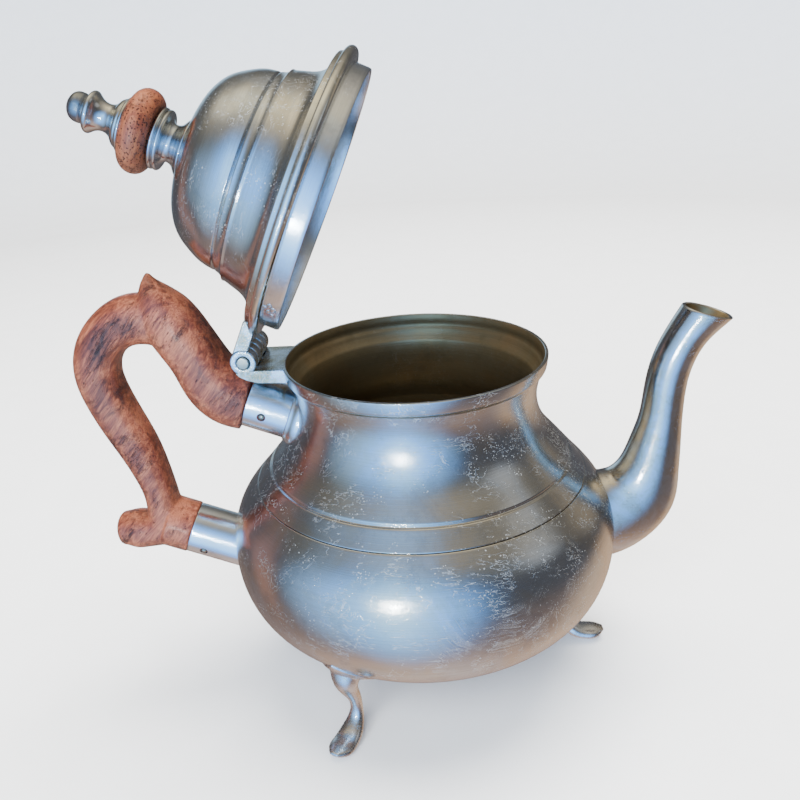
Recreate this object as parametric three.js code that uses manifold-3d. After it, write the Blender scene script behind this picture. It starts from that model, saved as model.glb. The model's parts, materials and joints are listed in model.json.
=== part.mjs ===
// A pewter teapot: a round body on three cabriole feet, a swan-neck spout, a carved wooden handle
// held in two sockets, and a domed lid with a turned finial that swings on a five-knuckle hinge.
// Millimetres, +Z up, floor at z = 0. The spout points to +X and the hinge pin lies along Y.
import * as THREE from 'three';
import { mergeVertices } from 'three/addons/utils/BufferGeometryUtils.js';
import Module from 'manifold-3d';

const wasm = await Module();
wasm.setup();

// ---- driving dimensions -------------------------------------------------------------------------
const POT_AXIS_X = 6.43; // puts the middle of the overall length at x = 0
const GAP = 0.3; // clearance between neighbouring pieces
const BODY_WALL = 1.3;
const SKIRT_DEPTH = 3; // how far the shoulder's skirt laps down inside the bowl
const SKIRT_INSET = 1.8; // from the body's outside to the skirt
const SKIRT_WALL = 0.9;
const ROUND = 40; // sides of the large round pieces
const SMALL_ROUND = 20; // sides of the finial, sockets and pins

const BASE_Z = 21.5; // underside of the body
const BELLY_R = 70;
const SEAM_Z = 80.2; // where the bowl meets the shoulder
const LINE_Z = 86.4; // engraved line above the seam
const LINE_DEPTH = 0.45;
const RIM_R = 45.7;
const RIM_Z = 123.8;
const RIM_BAND = 4.6; // height of the band around the mouth

const LID_OPEN_DEG = 65.5; // how far the lid stands open, leaning on its stop
const HINGE_X = -57.3; // pin axis, from the pot's axis
const HINGE_Z = 126.7;
const HINGE_HALF_WIDTH = 12.7;
const KNUCKLES = 5;
const KNUCKLE_R = 4.3;
const PIN_R = 2.1;
const BRACKET_Z = [119.4, 123.8]; // underside and top of the plate on the pot's rim
const LEAF_Z = [127.6, 130.8]; // underside and top of the plate on the closed lid

const COLLAR_R = 43.6;
const COLLAR_WALL = 0.9;
const LID_WALL = 1;
const DOME_TOP_Z = 165.2;
const ROD_R = 1.5;
const WOOD_DISC_Z = [175.7, 184.4];
const CAP_Z = 198.3; // underside of the finial's cap

const SOCKET_R = 9.5;
const SOCKET_WALL = 0.8;
const SOCKET_SLOPE_DEG = 21.7; // how far the handle's sockets rise away from the body
const UPPER_MOUTH = [-60, 108.5]; // centre of the upper socket's mouth, x and z
const LOWER_MOUTH = [-87.5, 56.9];
const TENON_LENGTH = 10.5;
const RIVET_R = 1.1;
const UPPER_RIVET_TURN_DEG = 5; // how far each rivet is turned below level around its socket
const LOWER_RIVET_TURN_DEG = 22;

const SPOUT_WALL = 1.1;
const STRAINER_HOLE_R = 1.7;
const STRAINER_PITCH = 6;
const STRAINER_Z = 57;

const FOOT_AZIMUTHS_DEG = { front: 0, left: 242, right: 118 }; // seen from the handle side

// ---- materials ----------------------------------------------------------------------------------
const look = (color, roughness, metalness) =>
  new THREE.MeshStandardMaterial({ color, roughness, metalness });
const pewter = () => look(0x9a9a98, 0.34, 1);
const brightPewter = () => look(0xb4bac2, 0.28, 1);
const darkPewter = () => look(0x77797b, 0.42, 1);
const steel = () => look(0xb9b7b0, 0.3, 1);
const wood = () => look(0x8f4a2b, 0.45, 0);

// ---- solids -------------------------------------------------------------------------------------
const v2 = (x, y) => new THREE.Vector2(x, y);
const v3 = (x, y, z) => new THREE.Vector3(x, y, z);
const rad = THREE.MathUtils.degToRad;

// A closed geometry as a manifold solid with its faces pointing out.
function solid(geometry) {
  const bare = geometry.clone();
  bare.deleteAttribute('normal');
  bare.deleteAttribute('uv');
  const merged = mergeVertices(bare);
  const corners = merged.index.array;
  const kept = [];
  for (let i = 0; i < corners.length; i += 3) {
    const [a, b, c] = corners.slice(i, i + 3);
    if (a !== b && b !== c && c !== a) kept.push(a, b, c);
  }
  const vertProperties = Float32Array.from(merged.attributes.position.array);
  const build = (triangles) => {
    const mesh = new wasm.Mesh({ numProp: 3, vertProperties, triVerts: Uint32Array.from(triangles) });
    return new wasm.Manifold(mesh);
  };
  const body = build(kept);
  return body.volume() > 0 ? body : build(kept.reverse());
}

function toGeometry(body) {
  const { vertProperties, triVerts } = body.getMesh();
  const geometry = new THREE.BufferGeometry();
  geometry.setAttribute('position', new THREE.BufferAttribute(vertProperties, 3));
  geometry.setIndex(new THREE.BufferAttribute(triVerts, 1));
  geometry.computeVertexNormals();
  return geometry;
}

function addPart(group, name, body, material) {
  const mesh = new THREE.Mesh(toGeometry(body), material);
  mesh.name = name;
  group.add(mesh);
}

const joined = (first, ...others) => others.reduce((sum, next) => sum.add(next), first);
const cutBy = (first, ...others) => others.reduce((rest, next) => rest.subtract(next), first);

// A solid of revolution about Z. The outline starts and ends on the axis, or closes on itself.
function lathe(outline, sides = ROUND) {
  const geometry = new THREE.LatheGeometry(outline, sides);
  geometry.rotateX(Math.PI / 2);
  return solid(geometry);
}

const outline = (pairs) => pairs.map(([radius, height]) => v2(radius, height));
const closed = (points) => [...points, points[0].clone()];
const curveThrough = (pairs) => new THREE.SplineCurve(outline(pairs));

// Points along the part of a curve whose heights lie between two values on its climbing side.
function stretch(curve, fromZ, toZ, count) {
  const at = (height) => {
    let [low, high] = [0, 1];
    for (let i = 0; i < 40; i += 1) {
      const middle = (low + high) / 2;
      if (curve.getPointAt(middle).y < height) low = middle;
      else high = middle;
    }
    return low;
  };
  const [start, end] = [at(fromZ), at(toZ)];
  return Array.from({ length: count + 1 }, (_, i) =>
    curve.getPointAt(start + ((end - start) * i) / count));
}

// A climbing line moved towards the axis, or away from it if the distance is negative.
function inset(points, distance) {
  return points.map((point, i) => {
    const before = points[Math.max(i - 1, 0)];
    const after = points[Math.min(i + 1, points.length - 1)];
    const along = after.clone().sub(before).normalize();
    return v2(Math.max(point.x - along.y * distance, 0), point.y + along.x * distance);
  });
}

// A cylinder or cone frustum along +Z, from z = 0.
function rod(radius, length, topRadius = radius, sides = SMALL_ROUND) {
  const geometry = new THREE.CylinderGeometry(topRadius, radius, length, sides);
  geometry.rotateX(Math.PI / 2);
  geometry.translate(0, 0, length / 2);
  return geometry;
}

// A cylinder between two points.
function rodBetween(start, end, radius, sides = SMALL_ROUND) {
  const geometry = rod(radius, start.distanceTo(end), radius, sides);
  const direction = end.clone().sub(start).normalize();
  geometry.applyQuaternion(new THREE.Quaternion().setFromUnitVectors(v3(0, 0, 1), direction));
  geometry.translate(start.x, start.y, start.z);
  return solid(geometry);
}

function block(low, high) {
  const size = high.clone().sub(low);
  const geometry = new THREE.BoxGeometry(size.x, size.y, size.z);
  const middle = low.clone().add(high).multiplyScalar(0.5);
  geometry.translate(middle.x, middle.y, middle.z);
  return solid(geometry);
}

// A solid with oval sections along a curve in the XZ plane.
// Each station is [x, z, half-width in the plane, half-width along Y].
function sweep(stations, steps, sides) {
  const centre = new THREE.CatmullRomCurve3(stations.map(([x, z]) => v3(x, 0, z)));
  const widths = new THREE.CatmullRomCurve3(stations.map(([, , a, b]) => v3(a, b, 0)));
  const positions = [];
  const index = [];
  for (let i = 0; i <= steps; i += 1) {
    const point = centre.getPoint(i / steps);
    const along = centre.getTangent(i / steps);
    const across = v3(along.z, 0, -along.x);
    const { x: inPlane, y: sideways } = widths.getPoint(i / steps);
    for (let k = 0; k < sides; k += 1) {
      const angle = (2 * Math.PI * k) / sides;
      const corner = point.clone().addScaledVector(across, inPlane * Math.cos(angle));
      positions.push(corner.x, sideways * Math.sin(angle), corner.z);
    }
  }
  for (let i = 0; i < steps; i += 1) {
    for (let k = 0; k < sides; k += 1) {
      const [a, b] = [i * sides + k, i * sides + ((k + 1) % sides)];
      index.push(a, b, b + sides, a, b + sides, a + sides);
    }
  }
  [0, steps].forEach((ring) => {
    const point = centre.getPoint(ring / steps);
    const hub = positions.push(point.x, point.y, point.z) / 3 - 1;
    for (let k = 0; k < sides; k += 1) {
      const [a, b] = [ring * sides + k, ring * sides + ((k + 1) % sides)];
      index.push(...(ring === 0 ? [hub, b, a] : [hub, a, b]));
    }
  });
  const geometry = new THREE.BufferGeometry();
  geometry.setAttribute('position', new THREE.Float32BufferAttribute(positions, 3));
  geometry.setIndex(index);
  return solid(geometry);
}

// A flat outline in the XZ plane, extruded along Y between two values.
function plate(shape, fromY, toY) {
  const geometry = new THREE.ExtrudeGeometry(shape, {
    depth: toY - fromY, bevelEnabled: false, curveSegments: 14,
  });
  geometry.rotateX(Math.PI / 2);
  geometry.translate(0, toY, 0);
  return solid(geometry);
}

// ---- body ---------------------------------------------------------------------------------------
const bodyCurve = curveThrough([
  [0, BASE_Z], [24, BASE_Z], [41, 22.6], [54, 27.5], [65.2, 37.5], [BELLY_R, 57], [66.4, 71.2],
  [58.4, SEAM_Z + 0.8], [51.9, 88.6], [45.8, 96], [42.5, 104], [42.1, 111], [43.9, 118.4],
]);
const bandFoot = RIM_Z - RIM_BAND;

function bowl() {
  const outer = stretch(bodyCurve, BASE_Z - 1, SEAM_Z, 13);
  const inner = inset(outer, BODY_WALL);
  inner[0].x = 0;
  const holes = [];
  for (let row = -2; row <= 2; row += 1) {
    const inRow = 4 - Math.abs(row);
    for (let i = 0; i < inRow; i += 1) {
      const y = (i - (inRow - 1) / 2) * STRAINER_PITCH;
      const z = STRAINER_Z + row * STRAINER_PITCH * 0.9;
      holes.push(rodBetween(v3(50, y, z), v3(90, y, z), STRAINER_HOLE_R, 10));
    }
  }
  return cutBy(lathe([...outer, ...inner.reverse()]), ...holes);
}

// The shoulder and neck. A thin skirt below the seam laps inside the bowl.
function shoulder() {
  const above = SEAM_Z + GAP;
  const lower = stretch(bodyCurve, above, LINE_Z - 0.6, 1);
  const upper = stretch(bodyCurve, LINE_Z + 0.6, 118.2, 6);
  const line = inset(stretch(bodyCurve, LINE_Z - 0.6, LINE_Z + 0.6, 2), LINE_DEPTH)[1];
  const skirt = stretch(bodyCurve, SEAM_Z - SKIRT_DEPTH, above, 1);
  const wall = inset([lower[1], ...upper], BODY_WALL);
  const mouth = outline([
    [44.7, bandFoot - 0.3], [45.2, bandFoot + 0.3], [RIM_R, RIM_Z - 0.5], [RIM_R - 0.3, RIM_Z],
    [RIM_R - 0.9, RIM_Z], [RIM_R - 1.2, RIM_Z - 0.6], [RIM_R - 1.5, bandFoot + 0.4],
  ]);
  return lathe(closed([
    ...lower, line, ...upper, ...mouth, ...wall.reverse(),
    ...inset(skirt, SKIRT_INSET + SKIRT_WALL).reverse(),
    ...inset(skirt, SKIRT_INSET),
  ]));
}

// The body's outside as a filled solid, a little larger: neighbours are cut back by it.
function bodyPlug(clearance) {
  const side = inset(stretch(bodyCurve, BASE_Z - 1, 118.4, 30), -clearance);
  side[0] = v2(0, BASE_Z - clearance);
  return lathe([
    ...side, v2(45.2 + clearance, bandFoot), v2(RIM_R + clearance, RIM_Z - 0.4),
    v2(RIM_R + clearance, RIM_Z + 1), v2(0, RIM_Z + 1),
  ]);
}

// ---- spout --------------------------------------------------------------------------------------
const spoutStations = [
  [58, 56.8, 18.2, 12.8], [66, 57, 17.9, 12.6], [73.6, 60, 16.4, 12], [79.6, 66, 14.6, 10.8],
  [83.1, 75, 11.2, 9.4], [84.8, 84.5, 9.2, 8.4], [86.2, 95.5, 7.5, 7.3], [86.8, 104, 7.1, 7],
  [87.7, 111.5, 7, 6.9], [89.9, 119.4, 6.9, 6.9], [93.6, 126.8, 7, 7], [98.7, 133.8, 7.9, 7.6],
  [104.5, 140.5, 8.8, 8.4],
];
const SPOUT_LIP = [[90.6, 136.2], [106.9, 131.6]]; // the mouth's high and low points, x and z

function spout() {
  const thinner = spoutStations.map(([x, z, a, b]) => [x, z, a - SPOUT_WALL, b - SPOUT_WALL]);
  const [[highX, highZ], [lowX, lowZ]] = SPOUT_LIP;
  const above = new THREE.BoxGeometry(60, 60, 30);
  above.translate(0, 0, 15);
  above.rotateY(Math.atan2(highZ - lowZ, lowX - highX));
  above.translate((highX + lowX) / 2, 0, (highZ + lowZ) / 2);
  const tube = cutBy(sweep(spoutStations, 22, 16), sweep(thinner, 22, 12));
  return cutBy(tube, solid(above), bodyPlug(GAP));
}

// ---- handle and its sockets ---------------------------------------------------------------------
const slope = rad(SOCKET_SLOPE_DEG);
const outward = v3(-Math.cos(slope), 0, Math.sin(slope)); // from the body towards the handle
const mouthCentre = ([x, z]) => v3(x, 0, z);
const fromMouth = (mouth, distance) => mouthCentre(mouth).addScaledVector(outward, distance);

function rivet(mouth, turnDeg, radius, halfLength) {
  const middle = fromMouth(mouth, -6.4);
  const turn = rad(turnDeg);
  const sideways = v3(0, Math.cos(turn), 0);
  sideways.addScaledVector(v3(Math.sin(slope), 0, Math.cos(slope)), Math.sin(turn));
  const start = middle.clone().addScaledVector(sideways, -halfLength);
  const end = middle.clone().addScaledVector(sideways, halfLength);
  return rodBetween(start, end, radius, 16);
}

function socket(mouth, turnDeg) {
  const tube = rodBetween(fromMouth(mouth, 0), fromMouth(mouth, -30), SOCKET_R);
  const bore = rodBetween(fromMouth(mouth, 1), fromMouth(mouth, -31), SOCKET_R - SOCKET_WALL);
  return cutBy(tube, bore, bodyPlug(GAP), rivet(mouth, turnDeg, RIVET_R + GAP, 14));
}

// The flared ring that joins the upper socket to the neck.
function socketFlange() {
  const ring = lathe(closed(outline([
    [SOCKET_R + GAP, 0], [SOCKET_R + GAP + 0.6, 0], [SOCKET_R + 1.3, 1.6], [SOCKET_R + 2.3, 3],
    [SOCKET_R + 2.3, 8], [SOCKET_R + GAP, 8],
  ])), SMALL_ROUND);
  const geometry = toGeometry(ring);
  const inward = outward.clone().negate();
  geometry.applyQuaternion(new THREE.Quaternion().setFromUnitVectors(v3(0, 0, 1), inward));
  const start = fromMouth(UPPER_MOUTH, -15.4);
  geometry.translate(start.x, start.y, start.z);
  const underHinge = block(v3(-70, -20, BRACKET_Z[0] - GAP), v3(-30, 20, 140));
  return cutBy(solid(geometry), bodyPlug(GAP), underHinge);
}

function handle() {
  const grip = sweep([
    [-60.4, 108.7, 10.9, 10.1], [-65.8, 111, 11.4, 10.4], [-71.3, 116.4, 11, 10.1],
    [-75.8, 125, 9.6, 9.6], [-80.8, 134, 9.3, 9.2], [-88.4, 139.6, 9.4, 8.8], [-97, 140.1, 8.8, 8.5],
    [-104.3, 136.7, 8.2, 8.2], [-109.8, 130.6, 8, 8], [-112.4, 122, 8, 7.9], [-110.8, 111.8, 8, 7.8],
    [-107.2, 101.5, 7.7, 7.7], [-103.1, 91.4, 7.3, 7.4], [-100.1, 82, 6.5, 7.1],
    [-98.1, 73, 5.9, 7], [-97.4, 64, 6.3, 7.4], [-97.4, 57, 6.2, 7.2],
  ], 30, 12);
  const spur = sweep([
    [-86.4, 137, 12.9, 7.8], [-87.8, 145, 11.4, 6.6], [-88.3, 149, 7.6, 4.9],
    [-88.8, 151.6, 4.4, 3.4], [-88.9, 153.8, 2, 2], [-88.5, 155.5, 0.5, 0.8],
  ], 6, 12);
  const curl = sweep([
    [-93, 59.6, 7.8, 8], [-99, 58.2, 7.8, 8.2], [-104.5, 57.2, 7, 7.8], [-109.3, 57.3, 7.4, 7.6],
    [-113.4, 57.5, 6.5, 6.6], [-116.2, 57.5, 4, 4.2], [-117.1, 57.5, 1, 1.2],
  ], 9, 14);
  const collar = rodBetween(fromMouth(LOWER_MOUTH, GAP), fromMouth(LOWER_MOUTH, 9.4), SOCKET_R);
  const tenonR = SOCKET_R - SOCKET_WALL - GAP;
  const tenons = [UPPER_MOUTH, LOWER_MOUTH].map((mouth) =>
    rodBetween(fromMouth(mouth, 4), fromMouth(mouth, -TENON_LENGTH), tenonR, 24));
  const inSocket = (mouth) =>
    rodBetween(fromMouth(mouth, GAP), fromMouth(mouth, -20), SOCKET_R + 6, 24);
  const carved = joined(grip, spur, curl, collar);
  const trimmed = cutBy(carved, inSocket(UPPER_MOUTH), inSocket(LOWER_MOUTH));
  return cutBy(
    joined(trimmed, ...tenons),
    rivet(UPPER_MOUTH, UPPER_RIVET_TURN_DEG, RIVET_R + GAP, 14),
    rivet(LOWER_MOUTH, LOWER_RIVET_TURN_DEG, RIVET_R + GAP, 14),
  );
}

// ---- feet ---------------------------------------------------------------------------------------
// A cabriole leg in the XZ plane, with a leaf-shaped knee plate that lies against the body.
function foot(azimuthDeg) {
  const leg = sweep([
    [55.3, 33, 5.6, 6.4], [58.2, 27, 4.4, 4.8], [57, 22, 3, 3.1], [54.9, 17, 2.3, 2.2],
    [53.9, 12, 2.1, 2], [54.6, 7.4, 2.3, 2.7], [57.8, 3.8, 2.7, 3.9], [62.6, 2.1, 2.5, 4.4],
    [67, 2.5, 1.9, 3.7], [69.6, 3.4, 0.7, 1.6],
  ], 18, 10);
  const leaf = new THREE.Shape();
  leaf.moveTo(65, 0);
  leaf.bezierCurveTo(62, 4, 61, 8.5, 56.5, 9);
  leaf.bezierCurveTo(51, 8.5, 50, 4, 47, 0);
  leaf.bezierCurveTo(50, -4, 51, -8.5, 56.5, -9);
  leaf.bezierCurveTo(61, -8.5, 62, -4, 65, 0);
  const column = new THREE.ExtrudeGeometry(leaf, { depth: 30, bevelEnabled: false, curveSegments: 4 });
  column.translate(0, 0, 18);
  const kneePlate = solid(column).intersect(bodyPlug(GAP + 1.3));
  const belowFloor = block(v3(40, -20, -10), v3(90, 20, 0));
  const shaped = cutBy(joined(leg, kneePlate), bodyPlug(GAP), belowFloor);
  const geometry = toGeometry(shaped);
  geometry.rotateZ(rad(azimuthDeg));
  return solid(geometry);
}

// ---- hinge --------------------------------------------------------------------------------------
const hingeAt = (y) => v3(HINGE_X, y, HINGE_Z);
const hingeRod = (radius, fromY, toY) => rodBetween(hingeAt(fromY), hingeAt(toY), radius);
const knucklePitch = (2 * HINGE_HALF_WIDTH + GAP) / KNUCKLES;
const knuckleY = (i) => {
  const start = -HINGE_HALF_WIDTH + i * knucklePitch;
  return [start, start + knucklePitch - GAP];
};
const potKnuckles = [0, 2, 4].map(knuckleY);
const lidKnuckles = [1, 3].map(knuckleY);

// Clearance cylinders around the knuckles that belong to the other half of the hinge.
const clearOf = (knuckles) =>
  knuckles.map(([from, to]) => hingeRod(KNUCKLE_R + GAP, from - GAP, to + GAP));

function hingeBracket() {
  const [low, high] = BRACKET_Z;
  const cheek = new THREE.Shape();
  const downTurn = rad(235);
  cheek.moveTo(HINGE_X + KNUCKLE_R * Math.cos(downTurn), HINGE_Z + KNUCKLE_R * Math.sin(downTurn));
  cheek.lineTo(HINGE_X + 2.6, low);
  cheek.lineTo(-36, low);
  cheek.lineTo(-36, high);
  cheek.lineTo(HINGE_X, high);
  const solidPlate = plate(cheek, -HINGE_HALF_WIDTH, HINGE_HALF_WIDTH);
  const knuckles = potKnuckles.map(([from, to]) => hingeRod(KNUCKLE_R, from, to));
  const bore = hingeRod(PIN_R + GAP, -20, 20);
  const leafSide = cutBy(solidPlate, ...clearOf(lidKnuckles));
  return cutBy(joined(leafSide, ...knuckles), bore, bodyPlug(GAP));
}

const hingePin = () => hingeRod(PIN_R, -HINGE_HALF_WIDTH - 0.3, HINGE_HALF_WIDTH + 0.3);

// ---- lid, drawn closed on the pot ---------------------------------------------------------------
const domeCurve = curveThrough([
  [43.1, 129.3], [41.1, 130.3], [38.1, 132.3], [36.2, 134.8], [35.2, 138], [34.3, 141.3],
  [33.1, 144.3], [31.2, 147.7], [31, 150.4], [29.6, 153.8], [27, 157.9], [22.9, 161.2],
  [17.4, 163.5], [10, 164.9], [ROD_R + GAP, DOME_TOP_Z],
]);

function lidDome() {
  const outer = domeCurve.getSpacedPoints(15);
  const inner = inset(domeCurve.getSpacedPoints(8), LID_WALL);
  inner[0] = v2(42.1, 129.3);
  inner[inner.length - 1] = v2(ROD_R + GAP, DOME_TOP_Z - LID_WALL);
  return lathe(closed([...outer, ...inner.reverse()]));
}

// The filled outside of the lid, a little larger: the hinge leaf is cut back by it.
function lidPlug(clearance) {
  const outer = inset(domeCurve.getSpacedPoints(12), -clearance);
  const top = outer[outer.length - 1];
  const flange = inset(outline(flangeOutside), -clearance);
  return lathe([
    v2(0, 118), v2(COLLAR_R + clearance, 118), v2(COLLAR_R + clearance, 124.15 - clearance),
    ...flange, ...outer.slice(1), v2(0, top.y),
  ]);
}

const flangeOutside = [
  [46.2, 124.15], [47.3, 124.9], [47.75, 126.3], [47.3, 127.8], [46.1, 128.7], [45.3, 128.8],
  [44.9, 129.5], [44.3, 129.9], [43.6, 129.7],
];

function lidFlange() {
  const inside = COLLAR_R + GAP;
  return lathe(closed(outline([[inside, 124.15], ...flangeOutside, [inside, 129.6]].map(
    ([radius, height]) => [Math.max(radius, inside), height],
  ))));
}

function lidCollar() {
  const inside = COLLAR_R - COLLAR_WALL;
  return lathe(closed(outline([
    [COLLAR_R - 0.25, 119.2], [COLLAR_R, 119.8], [COLLAR_R, 128.9], [inside, 128.9], [inside, 119.4],
  ])));
}

function lidLeaf() {
  const [low, high] = LEAF_Z;
  const slab = block(
    v3(HINGE_X, -HINGE_HALF_WIDTH, low),
    v3(-30, HINGE_HALF_WIDTH, high),
  );
  const knuckles = lidKnuckles.map(([from, to]) => hingeRod(KNUCKLE_R, from, to));
  const bore = hingeRod(PIN_R + GAP, -20, 20);
  const trimmed = cutBy(slab, ...clearOf(potKnuckles), lidPlug(GAP));
  return cutBy(joined(trimmed, ...knuckles), bore);
}

// ---- finial, drawn on the closed lid ------------------------------------------------------------
const boreR = ROD_R + GAP;
const turned = (pairs) => lathe(closed(outline(pairs)), SMALL_ROUND);

const finialBase = () => turned([
  [boreR, DOME_TOP_Z + GAP], [9.9, DOME_TOP_Z + GAP], [9.8, 166.2], [8.5, 167], [6.8, 168.1],
  [6.1, 169.6], [6.3, 170.9], [7.4, 172], [9.1, 172.6], [9.8, 173.2], [9.4, 173.9], [9.9, 174.5],
  [9.6, WOOD_DISC_Z[0] - GAP], [boreR, WOOD_DISC_Z[0] - GAP],
]);

function finialDisc() {
  const [low, high] = WOOD_DISC_Z;
  const middle = (low + high) / 2;
  const half = (high - low) / 2;
  const side = Array.from({ length: 11 }, (_, i) => {
    const angle = -Math.PI / 2 + (Math.PI * i) / 10;
    return [9.4 + 4.1 * Math.cos(angle), middle + half * Math.sin(angle)];
  });
  return turned([[boreR, low], ...side, [boreR, high]]);
}

const finialTop = () => {
  const low = WOOD_DISC_Z[1] + GAP;
  return turned([
    [boreR, low], [8.5, low], [8.7, 185.6], [8, 186.2], [7.8, 187], [6.3, 188], [5, 189.4],
    [4.5, 190.9], [4.6, 192.3], [5.4, 194.1], [6.5, 195.6], [6.6, 196.5], [5.8, 197.5],
    [4.8, CAP_Z - GAP], [boreR, CAP_Z - GAP],
  ]);
};

const finialCap = () => lathe(outline([
  [0, 201.6], [boreR, 201.6], [boreR, CAP_Z], [4.6, CAP_Z], [4.8, 199], [4.7, 200.4], [4.1, 201.8],
  [2.9, 202.9], [1.4, 203.5], [0, 203.6],
]), SMALL_ROUND);

const finialRod = () => solid(rod(ROD_R, 42).translate(0, 0, 159));
const finialWasher = () => turned([
  [boreR, 162.8], [6.2, 162.8], [6.2, 163.8], [boreR, 163.8],
]);
const finialNut = () => {
  const hexagon = solid(rod(3.6, 2.6, 3.6, 6).translate(0, 0, 159.9));
  return hexagon.subtract(solid(rod(boreR, 6).translate(0, 0, 158)));
};

// ---- assembly -----------------------------------------------------------------------------------
const teapot = new THREE.Group();
const pot = new THREE.Group();
pot.position.x = POT_AXIS_X;
teapot.add(pot);

addPart(pot, 'body_bowl', bowl(), pewter());
addPart(pot, 'body_shoulder', shoulder(), pewter());
addPart(pot, 'spout', spout(), pewter());
addPart(pot, 'upper_socket', socket(UPPER_MOUTH, UPPER_RIVET_TURN_DEG), brightPewter());
addPart(pot, 'upper_socket_flange', socketFlange(), brightPewter());
addPart(pot, 'lower_socket', socket(LOWER_MOUTH, LOWER_RIVET_TURN_DEG), brightPewter());
addPart(pot, 'upper_rivet', rivet(UPPER_MOUTH, UPPER_RIVET_TURN_DEG, RIVET_R, SOCKET_R), steel());
addPart(pot, 'lower_rivet', rivet(LOWER_MOUTH, LOWER_RIVET_TURN_DEG, RIVET_R, SOCKET_R), steel());
addPart(pot, 'handle', handle(), wood());
Object.entries(FOOT_AZIMUTHS_DEG).forEach(([side, azimuth]) => {
  addPart(pot, `foot_${side}`, foot(azimuth), pewter());
});
addPart(pot, 'hinge_bracket', hingeBracket(), brightPewter());
addPart(pot, 'hinge_pin', hingePin(), steel());

// The lid is drawn closed, then swung open about the hinge pin.
const hinge = new THREE.Group();
hinge.position.set(HINGE_X, 0, HINGE_Z);
hinge.rotation.y = -rad(LID_OPEN_DEG);
pot.add(hinge);
const lid = new THREE.Group();
lid.position.set(-HINGE_X, 0, -HINGE_Z);
hinge.add(lid);

addPart(lid, 'lid_dome', lidDome(), pewter());
addPart(lid, 'lid_flange', lidFlange(), pewter());
addPart(lid, 'lid_collar', lidCollar(), brightPewter());
addPart(lid, 'lid_leaf', lidLeaf(), brightPewter());
addPart(lid, 'finial_base', finialBase(), pewter());
addPart(lid, 'finial_disc', finialDisc(), wood());
addPart(lid, 'finial_top', finialTop(), pewter());
addPart(lid, 'finial_cap', finialCap(), darkPewter());
addPart(lid, 'finial_rod', finialRod(), steel());
addPart(lid, 'finial_washer', finialWasher(), steel());
addPart(lid, 'finial_nut', finialNut(), steel());

export default teapot;
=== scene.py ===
import json
import math

import bmesh
import bpy
import numpy as np
from mathutils import Matrix, Vector


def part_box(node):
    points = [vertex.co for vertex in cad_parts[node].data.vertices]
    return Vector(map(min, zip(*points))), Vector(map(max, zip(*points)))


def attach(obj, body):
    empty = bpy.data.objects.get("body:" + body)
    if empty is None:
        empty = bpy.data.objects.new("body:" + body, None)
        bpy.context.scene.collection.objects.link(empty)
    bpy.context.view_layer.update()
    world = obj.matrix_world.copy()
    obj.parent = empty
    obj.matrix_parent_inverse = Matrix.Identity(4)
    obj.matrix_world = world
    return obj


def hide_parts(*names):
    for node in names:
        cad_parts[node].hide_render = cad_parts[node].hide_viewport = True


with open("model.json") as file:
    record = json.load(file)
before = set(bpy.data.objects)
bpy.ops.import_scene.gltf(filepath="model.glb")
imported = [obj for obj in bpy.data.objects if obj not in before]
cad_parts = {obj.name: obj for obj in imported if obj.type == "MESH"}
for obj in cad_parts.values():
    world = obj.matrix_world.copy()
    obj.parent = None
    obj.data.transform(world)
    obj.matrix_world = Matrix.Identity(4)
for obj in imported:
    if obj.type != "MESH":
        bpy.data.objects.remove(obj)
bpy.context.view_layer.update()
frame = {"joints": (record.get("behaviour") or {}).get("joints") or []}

# ---- driving dimensions, mm and degrees ----
MM = 0.001
bowl_low, bowl_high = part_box("body_bowl")
AXIS_X = (bowl_low.x + bowl_high.x) / 2 / MM
RIM_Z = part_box("body_shoulder")[1].z / MM
hinge = frame["joints"][0]
HINGE_X = hinge["pos_m"][0] / MM - AXIS_X
HINGE_Z = hinge["pos_m"][2] / MM
LID_OPEN = math.radians(hinge["range_deg"][1])
HINGE_HALF_WIDTH = (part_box("hinge_bracket")[1].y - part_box("hinge_bracket")[0].y) / 2 / MM

ROUND = 192  # sides of the large turned pieces
SMALL_ROUND = 72  # and of the small ones
WALL = 1.3
SINK = 0.6  # how far a soldered piece reaches into the body's wall
PLUG_SINK = 0.5  # the same for pieces that are trimmed with a solid plug
SEAM_Z = 80.2
SEAM_GAP = 0.08
LINE_Z = 86.4
RIM_R = 45.7
BAND_FOOT_Z = RIM_Z - 4.6
COLLAR_R = 43.6
KNUCKLE_R = 4.5
PIN_R = 2.1
KNUCKLES = 5
SOCKET_R = 9.5
SOCKET_WALL = 0.8
SOCKET_SLOPE = math.radians(21.7)
UPPER_MOUTH = (-60, 108.5)
LOWER_MOUTH = (-87.5, 56.9)
FOOT_AZIMUTHS = {"front": 0, "left": 242, "right": 118}

POT_PLACE = Matrix.Translation((AXIS_X, 0, 0))
LID_PLACE = (
    Matrix.Translation((AXIS_X + HINGE_X, 0, HINGE_Z))
    @ Matrix.Rotation(-LID_OPEN, 4, "Y")
    @ Matrix.Translation((-HINGE_X, 0, -HINGE_Z))
)


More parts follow.
